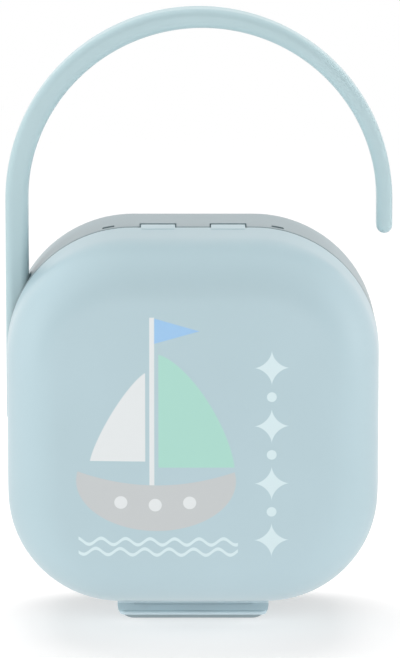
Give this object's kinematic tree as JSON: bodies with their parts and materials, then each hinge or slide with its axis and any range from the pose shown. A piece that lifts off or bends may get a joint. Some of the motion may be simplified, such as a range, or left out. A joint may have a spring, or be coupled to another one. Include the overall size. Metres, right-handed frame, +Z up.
{
  "type": "pacifier sterilizer case",
  "caption": "Rounded two-shell case that holds and steam-sterilises soothers, with a hinged front shell, an open hook handle, a latch tab in the foot and a perforated inner tray.",
  "frame": {"origin": "on the foot's flat resting face, below the middle of the case's width, in the plane of the seam between the two shells", "axes": "+Z up along the standing case, -Y out of the printed front, +X to the right as the front is seen; the handle's root is at -X"},
  "size_m": [0.0955, 0.0562, 0.1526],
  "materials": {
    "front_plastic": "satin gloss pale blue with a pad-printed picture",
    "rear_plastic": "satin gloss greyish pale blue",
    "handle_plastic": "satin pale blue",
    "latch_plastic": "satin grey blue",
    "pin_plastic": "natural acetal",
    "tray_plastic": "milky white",
    "silicone": "soft translucent silicone"
  },
  "bodies": {
    "rear": {"rear_shell": "rear_plastic", "rim_seal": "silicone", "hinge_pin_left": "pin_plastic", "hinge_pin_right": "pin_plastic", "latch_pin": "pin_plastic", "latch_spring": "silicone", "handle_pin": "pin_plastic"},
    "front": {"front_shell": "front_plastic"},
    "latch": {"latch_tab": "latch_plastic"},
    "handle": {"handle": "handle_plastic"},
    "tray": {"soother_tray": "tray_plastic"}
  },
  "joints": [
    {"name": "lid_hinge", "type": "hinge", "parent": "rear", "child": "front", "pos_m": [0, 0.003, 0.0974], "axis": [-1, 0, 0], "range_deg": [0, 95]},
    {"name": "latch_press", "type": "hinge", "parent": "rear", "child": "latch", "pos_m": [0, 0.009, 0.0031], "axis": [1, 0, 0], "range_deg": [0, 3.5], "stiffness_Nm_per_rad": 1.2, "springref_deg": -1.15, "deforming": ["latch_spring"]},
    {"name": "handle_swing", "type": "hinge", "parent": "rear", "child": "handle", "pos_m": [-0.04353, 0.0069, 0.0508], "axis": [0, -1, 0], "range_deg": [0, 10], "stiffness_Nm_per_rad": 1.5},
    {"name": "tray_tilt", "type": "hinge", "parent": "rear", "child": "tray", "pos_m": [0, 0.0134, 0.0873], "axis": [-1, 0, 0], "range_deg": [0, 16]}
  ]
}
